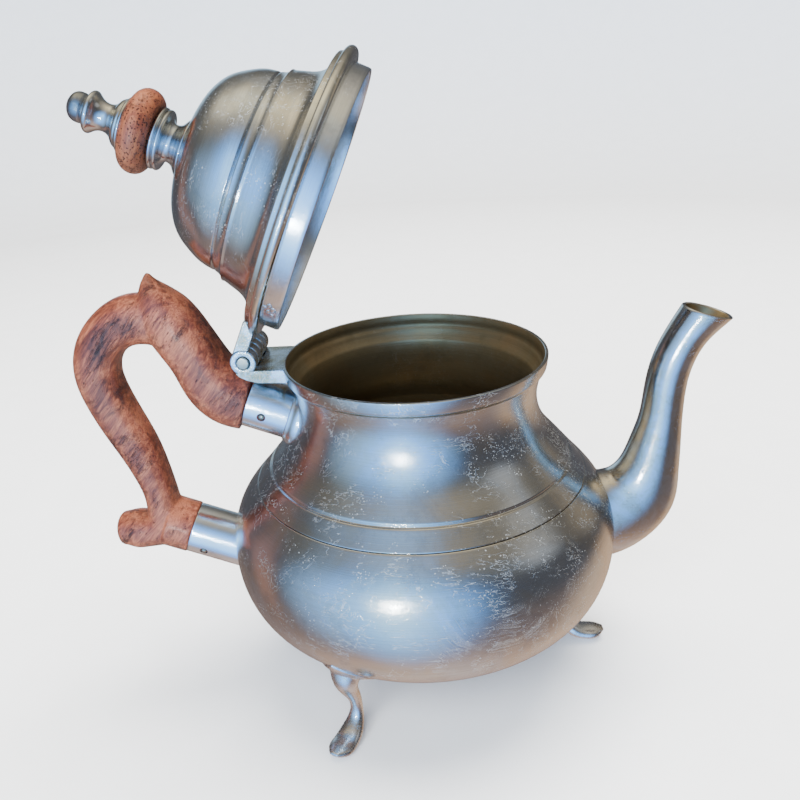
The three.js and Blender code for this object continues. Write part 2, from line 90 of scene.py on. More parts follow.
# ---- lines ----
def cubic(knots, points, at):
    """The natural cubic curve through points at the given knots, evaluated at other parameters."""
    count = len(knots)
    gap = np.diff(knots)
    system = np.eye(count)
    right_side = np.zeros_like(points)
    for i in range(1, count - 1):
        system[i, i - 1:i + 2] = gap[i - 1], 2 * (gap[i - 1] + gap[i]), gap[i]
        rise = (points[i + 1] - points[i]) / gap[i] - (points[i] - points[i - 1]) / gap[i - 1]
        right_side[i] = 6 * rise
    bend = np.linalg.solve(system, right_side)
    i = np.clip(np.searchsorted(knots, at) - 1, 0, count - 2)
    to_end, from_start, width = (knots[i + 1] - at)[:, None], (at - knots[i])[:, None], gap[i][:, None]
    curve = (bend[i] * to_end**3 + bend[i + 1] * from_start**3) / (6 * width)
    curve += (points[i] / width - bend[i] * width / 6) * to_end
    return curve + (points[i + 1] / width - bend[i + 1] * width / 6) * from_start


def lengths_along(line):
    return np.concatenate([[0], np.cumsum(np.linalg.norm(np.diff(line, axis=0), axis=1))])


def smooth_line(pairs, step=0.6):
    """A curve of continuous curvature through the points, cut into pieces about one step long."""
    points = np.array(pairs, float)
    knots = lengths_along(points)
    count = max(int(knots[-1] / step), 2)
    return cubic(knots, points, np.linspace(0, knots[-1], count + 1))


def trimmed(line, at_start, at_end):
    """The line without the given lengths at its two ends."""
    along = lengths_along(line)
    first, last = at_start, along[-1] - at_end
    kept = line[(along > first + 1e-6) & (along < last - 1e-6)]
    ends = [[np.interp(s, along, line[:, k]) for k in (0, 1)] for s in (first, last)]
    return np.vstack([ends[0], kept, ends[1]])


def chained(sections, radius=0.3, closed=True, steps=4):
    """One outline from sections that meet at corners, with every corner rounded."""
    sections = [np.array(s, float) for s in sections]
    count = len(sections)
    cuts = [min(radius, lengths_along(s)[-1] * 0.45) for s in sections]
    parts = []
    for i, section in enumerate(sections):
        at_start = cuts[i] if closed or i > 0 else 0
        at_end = cuts[i] if closed or i < count - 1 else 0
        part = trimmed(section, at_start, at_end)
        parts.append(part)
        if closed or i < count - 1:
            following = sections[(i + 1) % count]
            corner = section[-1]
            after = trimmed(following, cuts[(i + 1) % count], 0)[0]
            for t in np.linspace(0, 1, steps + 1)[1:-1]:
                bend = (1 - t) ** 2 * part[-1] + 2 * t * (1 - t) * corner + t**2 * after
                parts.append(bend[None])
    return np.vstack(parts)


def straight(*corners):
    """The straight sections between corners, for an outline."""
    return [list(pair) for pair in zip(corners, corners[1:])]


def arc(centre, radius, start_deg, end_deg, steps=28):
    angles = np.radians(np.linspace(start_deg, end_deg, steps))
    return [(centre[0] + radius * math.cos(a), centre[1] + radius * math.sin(a)) for a in angles]


def inset(line, distance):
    """The line moved to its left, which is towards the axis where it climbs."""
    along = np.gradient(line, axis=0)
    along /= np.linalg.norm(along, axis=1)[:, None]
    moved = line + distance * np.column_stack([-along[:, 1], along[:, 0]])
    moved[:, 0] = np.maximum(moved[:, 0], 0)
    return moved


def between(line, low, high):
    """The part of a climbing line between two heights, with exact ends."""
    inside = line[(line[:, 1] > low + 1e-4) & (line[:, 1] < high - 1e-4)]
    ends = [[np.interp(z, line[:, 1], line[:, 0]), z] for z in (low, high)]
    return np.vstack([ends[0], inside, ends[1]])


# ---- meshes ----
def piece(name, verts, faces, *finish, **more):
    """A finished piece from vertices and faces, with the points that coincide welded."""
    return finish_piece(joined_mesh(name, [(verts, faces)], weld=True), *finish, **more)


def turned_piece(name, outline, sides, body, slot, material, replaced, sharp):
    verts, faces = turned(outline, sides)
    piece(name, verts, faces, body, slot, material, [replaced], sharp)


def finish_piece(obj, body, slot, material, replaced=(), sharp=38, hollow_about=None):
    """Place a mesh, smooth it between its sharp edges, and let it ride on its body.
    The attribute "own" keeps each point's place in the piece's own frame for the materials.
    Faces that look towards the middle of a hollow piece get the stained metal."""
    mesh = obj.data
    mesh.materials.clear()
    mesh.materials.append(material)
    if hollow_about is not None:
        mesh.materials.append(stained_metal)
        middle = Vector((0, 0, hollow_about))
        for face in mesh.polygons:
            face.material_index = int((face.center - middle).dot(face.normal) < 0)
    own = mesh.attributes.new("own", "FLOAT_VECTOR", "POINT")
    places = np.zeros(len(mesh.vertices) * 3, np.float32)
    mesh.vertices.foreach_get("co", places)
    own.data.foreach_set("vector", places)
    mesh.transform(Matrix.Scale(MM, 4) @ (LID_PLACE if body == "lid" else POT_PLACE))
    mesh.shade_smooth()
    mesh.set_sharp_from_angle(angle=math.radians(sharp))
    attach(obj, body)
    if replaced:
        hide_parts(*replaced)
    return obj


def turned(outline, sides=ROUND, closed=True):
    """Vertices and faces of an outline turned about Z. It closes on itself, or runs from axis to axis."""
    on_axis = outline[:, 0] < 1e-6
    closed = closed and not on_axis[0]
    verts, rings = [], []
    angles = np.linspace(0, 2 * np.pi, sides, endpoint=False)
    for (radius, height), single in zip(outline, on_axis):
        start = len(verts)
        if single:
            verts.append((0, 0, height))
            rings.append([start] * sides)
        else:
            verts.extend(zip(radius * np.cos(angles), radius * np.sin(angles), np.full(sides, height)))
            rings.append(list(range(start, start + sides)))
    faces = []
    pairs = list(zip(rings, rings[1:])) + ([(rings[-1], rings[0])] if closed else [])
    for lower, upper in pairs:
        for k in range(sides):
            n = (k + 1) % sides
            corners = list(dict.fromkeys([lower[k], lower[n], upper[n], upper[k]]))
            if len(corners) > 2:
                faces.append(corners)
    return verts, faces


def sections_along(stations, step=0.8, sides=64, power=2.0):
    """A grid of points: oval sections along a curve in the XZ plane.
    Each station is [x, z, half-width in the plane, half-width along Y]."""
    stations = np.array(stations, float)
    knots = lengths_along(stations[:, :2])
    count = max(int(knots[-1] / step), 4)
    line = cubic(knots, stations, np.linspace(0, knots[-1], count + 1))
    along = np.gradient(line[:, :2], axis=0)
    along /= np.linalg.norm(along, axis=1)[:, None]
    angles = np.linspace(0, 2 * np.pi, sides, endpoint=False)
    cos, sin = (np.sign(f) * np.abs(f) ** (2 / power) for f in (np.cos(angles), np.sin(angles)))
    a, b = (np.maximum(line[:, k], 0.02)[:, None] for k in (2, 3))
    grid = np.empty((count + 1, sides, 3))
    grid[:, :, 0] = line[:, :1] + a * cos * along[:, 1:]
    grid[:, :, 1] = b * sin
    grid[:, :, 2] = line[:, 1:2] - a * cos * along[:, :1]
    return grid


def skin(grid, close="ends"):
    """Faces over a grid of rings. close is "ends" for two flat caps, or "loop" to join last ring to first."""
    rings, sides = grid.shape[:2]
    pairs = [(i, i + 1) for i in range(rings - 1)] + ([(rings - 1, 0)] if close == "loop" else [])
    faces = []
    for i, j in pairs:
        for k in range(sides):
            n = (k + 1) % sides
            faces.append((i * sides + k, i * sides + n, j * sides + n, j * sides + k))
    if close == "ends":
        faces.append(tuple(range(sides)))
        faces.append(tuple((rings - 1) * sides + k for k in reversed(range(sides))))
    return grid.reshape(-1, 3), faces


def kept_columns(grid, depth, count):
    """Each lengthwise column cut to the stretch where depth is negative, with evenly spread points."""
    rings, sides = grid.shape[:2]
    values = depth(grid.reshape(-1, 3)).reshape(rings, sides)
    out = np.empty((count, sides, 3))
    index = np.arange(rings)
    for k in range(sides):
        inside = np.flatnonzero(values[:, k] < 0)
        first, last = inside[0], inside[-1]
        start, end = float(first), float(last)
        if first > 0:
            a, b = values[first - 1, k], values[first, k]
            start = first - 1 + a / (a - b)
        if last < rings - 1:
            a, b = values[last, k], values[last + 1, k]
            end = last + a / (a - b)
        spread = np.linspace(start, end, count)
        for axis in range(3):
            out[:, k, axis] = np.interp(spread, index, grid[:, k, axis])
    return out


def joined_mesh(name, parts, weld=False):
    """Several shells in one object, facing out. They may overlap."""
    verts, faces = [], []
    for part_verts, part_faces in parts:
        start = len(verts)
        verts.extend(tuple(v) for v in part_verts)
        faces.extend(tuple(i + start for i in face) for face in part_faces)
    mesh = bpy.data.meshes.new(name)
    mesh.from_pydata(verts, [], faces)
    work = bmesh.new()
    work.from_mesh(mesh)
    if weld:
        bmesh.ops.remove_doubles(work, verts=work.verts, dist=1e-4)
    bmesh.ops.recalc_face_normals(work, faces=work.faces)
    work.to_mesh(mesh)
    work.free()
    obj = bpy.data.objects.new(name, mesh)
    bpy.context.scene.collection.objects.link(obj)
    return obj


def apply_modifiers(obj):
    depsgraph = bpy.context.evaluated_depsgraph_get()
    mesh = bpy.data.meshes.new_from_object(obj.evaluated_get(depsgraph))
    old = obj.data
    obj.modifiers.clear()
    obj.data = mesh
    bpy.data.meshes.remove(old)


def fused(obj, voxel, rounds):
    """The overlapping shells become one skin, smoothed a little where they meet."""
    remesh = obj.modifiers.new("remesh", "REMESH")
    remesh.mode = "VOXEL"
    remesh.voxel_size = voxel
    smooth = obj.modifiers.new("smooth", "SMOOTH")
    smooth.factor = 0.5
    smooth.iterations = rounds
    apply_modifiers(obj)


def combine(obj, other, operation):
    boolean = obj.modifiers.new("combine", "BOOLEAN")
    boolean.operation = operation
    boolean.solver = "EXACT"
    boolean.object = other
    apply_modifiers(obj)
    bpy.data.objects.remove(other)


def cut(obj, *cutters):
    for cutter in cutters:
        combine(obj, cutter, "DIFFERENCE")


def rod_between(start, end, radius, sides=40):
    """A closed cylinder between two points, as vertices and faces."""
    start, end = Vector(start), Vector(end)
    turn = Vector((0, 0, 1)).rotation_difference(end - start).to_matrix()
    angles = np.linspace(0, 2 * np.pi, sides, endpoint=False)
    ring = [turn @ Vector((radius * math.cos(a), radius * math.sin(a), 0)) for a in angles]
    grid = np.array([[start + v for v in ring], [end + v for v in ring]])
    return skin(grid)


# ---- node materials ----
class Value:
    """A number in a node tree, so that sums and products of sockets are written like ordinary ones."""

    def __init__(self, nodes, socket):
        self.nodes = nodes
        self.socket = socket

    def __add__(self, other):
        return self.nodes.math("ADD", self, other)

    def __mul__(self, other):
        return self.nodes.math("MULTIPLY", self, other)

    def __sub__(self, other):
        return self.nodes.math("SUBTRACT", self, other)

    def __rsub__(self, other):
        return self.nodes.math("SUBTRACT", other, self)

    def __truediv__(self, other):
        return self.nodes.math("DIVIDE", self, other)

    __radd__ = __add__
    __rmul__ = __mul__


class Nodes:
    """A node tree under construction, with short calls for the nodes that the looks share."""

    def __init__(self, tree):
        self.tree = tree

    def node(self, kind, inputs=None, **settings):
        made = self.tree.nodes.new(kind)
        for key, value in settings.items():
            setattr(made, key, value)
        for key, value in (inputs or {}).items():
            self.put(made.inputs[key], value)
        return made

    def put(self, socket, value):
        value = getattr(value, "socket", value)
        if isinstance(value, bpy.types.NodeSocket):
            self.tree.links.new(value, socket)
        else:
            socket.default_value = value

    def math(self, operation, *inputs, clamp=False):
        made = self.node("ShaderNodeMath", dict(enumerate(inputs)), operation=operation, use_clamp=clamp)
        return Value(self, made.outputs[0])

    def largest(self, a, b):
        return self.math("MAXIMUM", a, b)

    def hypotenuse(self, a, b):
        return self.math("SQRT", a * a + b * b)

    def vector(self, x, y, z):
        return self.node("ShaderNodeCombineXYZ", {0: x, 1: y, 2: z}).outputs[0]

    def split(self, vector):
        return [Value(self, part) for part in self.node("ShaderNodeSeparateXYZ", {0: vector}).outputs]

    def band(self, value, low, high, out_low=0.0, out_high=1.0):
        inputs = {0: value, 1: low, 2: high, 3: out_low, 4: out_high}
        made = self.node("ShaderNodeMapRange", inputs, interpolation_type="SMOOTHSTEP")
        return Value(self, made.outputs[0])

    def mix(self, amount, first, second):
        made = self.node("ShaderNodeMix", data_type="RGBA", blend_type="MIX")
        for key, value in ((0, amount), (6, first), (7, second)):
            self.put(made.inputs[key], value)
        return made.outputs[2]

    def ramp(self, value, *stops):
        made = self.node("ShaderNodeValToRGB", {0: value})
        elements = made.color_ramp.elements
        while len(elements) < len(stops):
            elements.new(0.5)
        for element, (position, shade) in zip(elements, stops):
            element.position = position
            element.color = color(shade)
        return made.outputs[0]


class Shader(Nodes):
    """A material, with the patterns that the finishes share. They all follow the piece's own frame."""

    def __init__(self, name):
        self.material = bpy.data.materials.new(name)
        self.material.use_nodes = True
        super().__init__(self.material.node_tree)
        self.surface = self.tree.nodes["Principled BSDF"]
        attribute = self.node("ShaderNodeAttribute", attribute_name="own")
        self.own = attribute.outputs["Vector"]

    def placed(self, vector, scale=(1, 1, 1), turn=(0, 0, 0), move=(0, 0, 0)):
        angles = [math.radians(a) for a in turn]
        inputs = {"Vector": vector, "Scale": scale, "Rotation": angles, "Location": move}
        return self.node("ShaderNodeMapping", inputs).outputs[0]

    def moved(self, *move):
        return self.placed(self.own, move=move)

    def noise(self, vector, scale, detail=3.0, roughness=0.55, distortion=0.0):
        inputs = {
            "Vector": vector, "Scale": scale, "Detail": detail,
            "Roughness": roughness, "Distortion": distortion,
        }
        return Value(self, self.node("ShaderNodeTexNoise", inputs).outputs[0])

    def thread(self, *noise):
        """Zero along thin winding lines, and more beside them."""
        return self.math("ABSOLUTE", self.noise(*noise) - 0.5)

    def spots(self, vector, scale):
        """The distance to the nearest of many scattered points."""
        inputs = {"Vector": vector, "Scale": scale, "Randomness": 1.0}
        return Value(self, self.node("ShaderNodeTexVoronoi", inputs).outputs["Distance"])

    def away(self, place):
        inputs = {0: self.own, 1: place}
        return Value(self, self.node("ShaderNodeVectorMath", inputs, operation="DISTANCE").outputs["Value"])

    def finish(self, **values):
        """Set the surface's inputs, written with underscores: sockets are linked and numbers are kept."""
        for key, value in values.items():
            self.put(self.surface.inputs[key.replace("_", " ")], value)

    def bump(self, height, distance):
        made = self.node("ShaderNodeBump", {"Height": height, "Distance": distance, "Strength": 1.0})
        self.put(self.surface.inputs["Normal"], made.outputs[0])


def color(hexadecimal, gain=1.0):
    """A linear colour from a written sRGB one."""
    parts = [int(hexadecimal[i:i + 2], 16) / 255 for i in (0, 2, 4)]
    linear = [c / 12.92 if c <= 0.04045 else ((c + 0.055) / 1.055) ** 2.4 for c in parts]
    return (*[c * gain for c in linear], 1)


BUMP = 0.00003  # how high a full step of a metal's relief stands, m
COAT_ROUGHNESS = 0.05
SCRATCHED = "dfe7ee"
FILED = "d9dde0"
# families of scratches: their turn, a seed, and the level above which a patch of the surface has them
SCRATCHES = [
    ((20, 35, 10), 0, 0.56), ((-30, -20, 50), 40, 0.58), ((70, 10, -35), 90, 0.54), ((5, 80, 15), 130, 0.58),
]


def pewter(
    name, base, warm, cool, roughness, wear=1.0, pits=1.0, spin=1.0, sheen=0.3, swirl_at=None, oxide=0.0,
):
    """Spun pewter: fine turning lines, buffing scratches, scribbles, pale pits and clouded colour."""
    s = Shader(name)
    x, y, z = s.split(s.own)
    profile = s.vector(s.hypotenuse(x, y), s.math("ARCTAN2", y, x) * 0.35, z)
    lines = s.noise(profile, 2.4, 4, 0.7)
    fine_lines = s.noise(s.placed(profile, (1, 0.5, 1)), 7.0, 3, 0.6)
    clouds = s.noise(s.own, 0.035, 4, 0.6, 0.6)
    blotches = s.noise(s.moved(31, 7, 3), 0.09, 6, 0.7)

    marks = 0.0
    for turn, seed, level in SCRATCHES:
        stretched = s.placed(s.own, (0.045, 1, 1), turn, (seed, seed, 0))
        scratch = s.band(s.thread(stretched, 0.42, 3, 0.6), 0.0, 0.009, 1, 0)
        patch = s.band(s.noise(s.moved(seed, 5, 2), 0.06, 3), level, level + 0.1)
        marks = s.largest(scratch * patch, marks)
    scribble = s.band(s.thread(s.moved(13, 2, 9), 0.13, 3, 0.6, 1.4), 0.0, 0.012, 1, 0)
    scribble_patch = s.band(s.noise(s.moved(3, 60, 8), 0.045, 2), 0.54, 0.62)
    marks = s.largest(marks, scribble * scribble_patch)
    if swirl_at:
        # rings left by a buffing mop around one spot
        away = s.away(swirl_at)
        bent = away + s.noise(s.own, 0.08, 2) * 6.0
        ring = s.band(s.thread(s.vector(bent, 0.0, 0.0), 0.9, 3, 0.7), 0.0, 0.03, 1, 0)
        near = s.band(away, 28, 40, 1, 0) * s.band(z, 60, 68, 1, 0)
        broken = s.band(s.noise(s.moved(17, 0, 0), 0.09, 3), 0.46, 0.58)
        marks = s.largest(marks, ring * near * broken * 0.45)
    marks = s.math("MULTIPLY", marks, wear, clamp=True)

    # pits: small pale specks that crowd together in patches
    speck = s.band(s.spots(s.placed(s.own, (1, 1, 1.3)), 0.62), 0.08, 0.24, 1, 0)
    small_speck = s.band(s.spots(s.own, 1.1), 0.07, 0.24, 1, 0)
    crowd = s.band(s.noise(s.moved(9, 44, 20), 0.07, 5, 0.75), 0.5, 0.64)
    pitting = s.math("MULTIPLY", s.largest(speck, small_speck) * crowd, pits, clamp=True)
    dull = s.largest(marks * 0.4, pitting * 0.55)

    shade = s.mix(s.band(clouds, 0.38, 0.62), color(warm), color(cool))
    shade = s.mix(0.55, color(base), shade)
    shade = s.mix(s.band(blotches, 0.5, 0.7, 0, 0.5), shade, color(base, 0.62))
    shade = s.mix(s.band(lines, 0.42, 0.62, 0.0, 0.22 * spin), shade, color(base, 0.7))
    s.finish(
        Base_Color=s.mix(dull, shade, color(SCRATCHED)),
        Metallic=1.0 - oxide - dull * (0.5 - oxide / 2),
        Roughness=roughness - 0.09 + blotches * 0.2 + lines * 0.08 + dull * 0.3,
        Coat_Weight=sheen,
        Coat_Roughness=COAT_ROUGHNESS,
    )
    s.bump(lines * (0.6 * spin) + fine_lines * (0.3 * spin) + clouds * 4.0 - marks * 0.5, BUMP)
    return s.material


def cast_metal(name, base, warm, roughness, grain=0.5):
    """Cast and filed pewter, without turning lines."""
    s = Shader(name)
    clouds = s.noise(s.own, 0.12, 4, 0.6, 0.4)
    grains = s.noise(s.own, 1.6, 4, 0.7)
    filed = s.noise(s.placed(s.own, (1, 0.12, 1), (10, 0, 25)), 3.0, 3, 0.6)
    scratch = s.band(s.thread(s.placed(s.own, (0.2, 1, 1), (0, 50, 20)), 0.9, 2), 0, 0.012, 1, 0)
    marks = scratch * s.band(clouds, 0.5, 0.6)
    shade = s.mix(s.band(clouds, 0.35, 0.65), color(base), color(warm))
    s.finish(
        Base_Color=s.mix(marks * 0.5, shade, color(FILED)),
        Metallic=1.0,
        Roughness=roughness - 0.06 + grains * 0.14,
    )
    s.bump(filed * grain + clouds * 3.0 - marks * 0.8, BUMP)
    return s.material


def timber(name, light, middle, dark, streak, turn, scale=1.0, pores=1.0, painted_shade_spots=()):
    """Oiled fruitwood: growth lines in one direction, dark patches like smoke, short open pores, and painted
    shade darkening the wood around given spots.
    """
    s = Shader(name)
    grain = s.placed(s.own, (1, 1, 1), turn)
    rings = s.noise(s.placed(grain, (0.1, 1, 1)), 0.5 * scale, 5, 0.7, 1.0)
    fibres = s.noise(s.placed(grain, (0.05, 1, 1)), 2.6 * scale, 4, 0.75)
    broad = s.noise(s.moved(3, 8, 1), 0.045 * scale, 3, 0.55, 0.5)
    smoky_and_shade = s.noise(s.placed(grain, (0.45, 1, 1), move=(41, 12, 5)), 0.12 * scale, 6, 0.75, 0.9)
    veins = s.thread(s.placed(grain, (0.16, 1, 1), move=(7, 7, 2)), 0.3, 5, 0.7)
    vein = s.band(veins, 0.0, 0.03, 1, 0) * s.band(smoky_and_shade, 0.45, 0.6)
    patches = s.noise(s.moved(5, 5, 5), 0.11, 4, 0.7)
    if pores > 1:  # end grain: the pores are cut across and show as round dots
        pore = s.band(s.spots(s.own, 1.15), 0.2, 0.36, 1, 0) * s.band(patches, 0.34, 0.5)
    else:
        short = s.spots(s.placed(grain, (0.3, 1, 1)), 0.85 * scale)
        pore = s.band(short, 0.1, 0.24, 1, 0) * s.band(patches, 0.42, 0.6)
    pore = s.math("MULTIPLY", pore, pores, clamp=True)
    # painted shade: each given spot darkens the wood around it by raising the dark patches
    for place, reach in painted_shade_spots:
        away = s.away(place) + (smoky_and_shade - 0.5) * 40.0
        smoky_and_shade = smoky_and_shade + s.band(away, reach * 0.3, reach * 1.2, 0.11, 0.0)
    shade = s.ramp(rings * 0.6 + broad * 0.4, (0.4, dark), (0.48, middle), (0.57, light))
    shade = s.mix(s.band(fibres, 0.44, 0.62, 0, 0.55), shade, color(dark))
    for amount in (s.band(smoky_and_shade, 0.5, 0.72, 0, 0.85), vein * 0.7, pore * 0.85):
        shade = s.mix(amount, shade, color(streak))
    s.finish(
        Base_Color=shade,
        Roughness=0.3 + smoky_and_shade * 0.25 + pore * 0.25,
        Specular_IOR_Level=0.45,
        Coat_Weight=0.2,
        Coat_Roughness=0.24,
    )
    s.bump(fibres * 0.7 + rings * 0.8 - s.largest(pore, vein) * 1.4, 0.00008)
    return s.material


SWIRL_AT = (22.0, -58.0, 70.0)
PEWTER_BASE = "cfd0d0"
# painted shade: where the handle is painted darker, at its upper edges and on the grip: middle and reach of
# each patch, mm
PAINTED_SHADE_AT = [((-66, 0, 128), 13), ((-108, -4, 112), 12), ((-107, 0, 143), 8), ((-86, 0, 151), 8)]
PEWTER_WARM = "cfc4ad"
PEWTER_COOL = "c3ced9"
body_metal = pewter("body_metal", PEWTER_BASE, PEWTER_WARM, PEWTER_COOL, 0.17, swirl_at=SWIRL_AT)
lid_metal = pewter("lid_metal", PEWTER_BASE, PEWTER_WARM, PEWTER_COOL, 0.15, 0.8)
stained_metal = pewter(
    "stained_metal", "8d7d5c", "8a7250", "84795f", 0.3, 0.2, 0.0, 1.5, 0.0, oxide=0.14
)
bright_metal = pewter("bright_metal", "e9eff5", "e2dfd8", "dcecfa", 0.16, 0.4, 0.1, 0.6)
flange_metal = pewter("flange_metal", "e8e6da", "e2dac6", "d8dfe6", 0.15, 0.7)
finial_metal = pewter("finial_metal", "cfd2d4", "cdc6b2", "c3cedb", 0.12, 0.3, 0.1, 0.8)
cap_metal = pewter("cap_metal", "989da3", "918f8a", "93a3b5", 0.3, 0.4, 0.3, 0.4)
spout_metal = cast_metal("spout_metal", "d0d4d8", "cbc3b6", 0.16)
foot_metal = cast_metal("foot_metal", "e8ebef", "cfc5ba", 0.26)
hinge_metal = cast_metal("hinge_metal", "d6e2ec", "b3a88c", 0.26, 0.8)
pin_metal = cast_metal("pin_metal", "bab5a8", "a39a86", 0.32)
handle_wood = timber(
    "handle_wood", "9a5a3f", "743b29", "4c241a", "1d0c09", (0, 50, 0), 1.0, 1.0,
    PAINTED_SHADE_AT,
)
disc_wood = timber(
    "disc_wood", "8a5235", "74402b", "5f3021", "1d0c08", (90, 0, 0), 1.7, 2.5
)

# ---- body ----
body_line = smooth_line([
    (0, 21.5), (24, 21.5), (41, 22.6), (54, 27.5), (65.2, 37.5), (70, 57), (66.4, 71.2),
    (58.4, 81), (51.9, 88.6), (45.8, 96), (42.5, 104), (42.1, 111), (43.9, 118.4),
], 0.8)


def body_radius(height):
    return np.interp(height, body_line[:, 1], body_line[:, 0], left=0)


def into_body(points):
    """Positive where a point lies deeper than SINK inside the body's outside."""
    return body_radius(points[:, 2]) - SINK - np.hypot(points[:, 0], points[:, 1])


def body_plug():
    """The body's outside as a filled solid, a little smaller, to trim neighbours with."""
    side = inset(body_line[body_line[:, 0] > 2][::2], PLUG_SINK)
    neck_r, top = RIM_R - 0.8, RIM_Z + 6
    line = np.vstack([[0, side[0, 1]], side, [neck_r, BAND_FOOT_Z + 1.5], [neck_r, top], [0, top]])
    return joined_mesh("plug", [turned(line, 96)])


BELLY_MIDDLE = 60
STRAINER_Z = 57
STRAINER_PITCH = 6


def make_bowl():
    low = body_line[0, 1]
    centre = body_line[body_line[:, 1] <= low + 1e-3][:1]
    outer = np.vstack([centre, between(body_line[2:], low + 0.02, SEAM_Z)])
    inner = inset(outer, WALL)
    inner[0] = (0, low + WALL)
    rim = [outer[-1], inner[-1]]
    outline = chained([outer, rim, inner[::-1]], 0.5, closed=False)
    verts, faces = turned(outline)
    bowl = joined_mesh("bowl_shell", [(verts, faces)])
    holes = []
    for row in range(-2, 3):
        in_row = 4 - abs(row)
        for i in range(in_row):
            across = (i - (in_row - 1) / 2) * STRAINER_PITCH
            height = STRAINER_Z + row * STRAINER_PITCH * 0.9
            holes.append(rod_between((50, across, height), (90, across, height), 1.7, 20))
    cut(bowl, joined_mesh("holes", holes))
    finish_piece(bowl, "pot", "pewter", body_metal, ["body_bowl"], hollow_about=BELLY_MIDDLE)


def make_shoulder():
    lower = between(body_line, SEAM_Z + SEAM_GAP, LINE_Z - 0.6)
    upper = between(body_line, LINE_Z + 0.6, 118.2)
    middle = np.array([lower[-1], upper[0]]).mean(0) + np.array([-0.5, -0.4])
    groove = [lower[-1], middle]
    groove_back = [middle, upper[0]]
    band = [
        [upper[-1], (44.9, BAND_FOOT_Z - 0.2)],
        [(44.9, BAND_FOOT_Z - 0.2), (45.3, BAND_FOOT_Z + 0.5)],
        smooth_line([(45.3, BAND_FOOT_Z + 0.5), (45.6, RIM_Z - 2.4), (RIM_R + 0.1, RIM_Z - 0.1)]),
        [(RIM_R + 0.1, RIM_Z - 0.1), (RIM_R - 1.0, RIM_Z)],
    ]
    wall_top = inset(upper, WALL)[::-1]
    # the mouth is opened out a little inside, so that the lid's collar drops in with room to spare
    flare = smooth_line([
        (RIM_R - 1.0, RIM_Z), (44.2, 121.6), (43.9, 119.1), (43.45, 118.3), (42.95, 117.1), (42.1, 115.4),
        tuple(wall_top[6]),
    ], 0.4)
    inside = np.vstack([flare, wall_top[7:]])
    # the skirt: a thin ring inside the bowl that locates the seam
    skirt = between(body_line, SEAM_Z - 3, SEAM_Z + SEAM_GAP)
    skirt_inner = inset(skirt, 2.7)[::-1]
    skirt_outer = inset(skirt, 1.5)
    into_skirt = [wall_top[-1], skirt_inner[0]]
    outline = chained(
        [lower, groove, groove_back, upper, *band, inside, into_skirt, skirt_inner,
         [skirt_inner[-1], skirt_outer[0]], skirt_outer, [skirt_outer[-1], lower[0]]],
        0.3,
    )
    verts, faces = turned(outline)
    piece(
        "shoulder_shell", verts, faces, "pot", "pewter", body_metal, ["body_shoulder"], 50,
        hollow_about=BELLY_MIDDLE,
    )


# ---- spout ----
SPOUT = np.array([
    [58, 56.8, 18.2, 12.8], [66, 57, 17.9, 12.6], [73.6, 60, 16.4, 12], [79.6, 66, 14.6, 10.8],
    [83.1, 75, 11.2, 9.4], [84.8, 84.5, 9.2, 8.4], [86.2, 95.5, 7.5, 7.3], [86.8, 104, 7.1, 7],
    [87.7, 111.5, 7, 6.9], [89.9, 119.4, 6.9, 6.9], [93.6, 126.8, 7, 7], [98.7, 133.8, 7.9, 7.6],
    [104.5, 140.5, 8.8, 8.4],
])
SPOUT_WALL = 1.1
SPOUT_LIP = ((90.6, 136.2), (106.9, 131.6))


def make_spout():
    (high_x, high_z), (low_x, low_z) = SPOUT_LIP
    across = np.array([low_x - high_x, low_z - high_z])
    normal = np.array([-across[1], across[0]]) / np.hypot(*across)

    def outside(points):
        above_lip = (points[:, 0] - high_x) * normal[0] + (points[:, 2] - high_z) * normal[1]
        return np.maximum(above_lip, into_body(points))

    outer = kept_columns(sections_along(SPOUT, 0.8, 96), outside, 130)
    inner = kept_columns(sections_along(SPOUT - [0, 0, SPOUT_WALL, SPOUT_WALL], 0.8, 96), outside, 90)[::-1]
    rise = np.array([normal[0], 0, normal[1]])
    lip = np.array([
        outer[-1] * (1 - t) + inner[0] * t + rise * 0.35 * math.sin(math.pi * t)
        for t in (0.15, 0.35, 0.65, 0.85)
    ])
    verts, faces = skin(np.concatenate([outer, lip, inner]), "loop")
    tube = piece("spout_tube", verts, faces, "pot", "pewter", spout_metal, ["spout"], 50)
    tube.data.materials.append(stained_metal)
    first_inner = (len(outer) + len(lip)) * outer.shape[1]
    for face in tube.data.polygons:
        face.material_index = int(min(face.vertices) >= first_inner)


# ---- sockets and rivets ----
OUTWARD = Vector((-math.cos(SOCKET_SLOPE), 0, math.sin(SOCKET_SLOPE)))
SOCKET_UP = Vector((math.sin(SOCKET_SLOPE), 0, math.cos(SOCKET_SLOPE)))


RIVET_DEPTH = 6.4  # from the socket's mouth
RIVET_R = 1.12
RIVET_HOLE_R = 1.55


def from_mouth(mouth, distance):
    return Vector((mouth[0], 0, mouth[1])) + OUTWARD * distance


def straight_tube(mouth, outline, count):
    """Rings around a socket's axis. Each outline point is (distance from the mouth, radius)."""
    rings = []
    angles = np.linspace(0, 2 * np.pi, SMALL_ROUND, endpoint=False)
    for distance, r in outline:
        centre = from_mouth(mouth, distance)
        rings.append([centre + SOCKET_UP * r * math.cos(a) + Vector((0, r * math.sin(a), 0)) for a in angles])
    return kept_columns(np.array(rings), into_body, count)


def rivet_ends(mouth, turn_deg, half):
    turn = math.radians(turn_deg)
    sideways = Vector((0, math.cos(turn), 0)) + SOCKET_UP * math.sin(turn)
    middle = from_mouth(mouth, -RIVET_DEPTH)
    return middle - sideways * half, middle + sideways * half


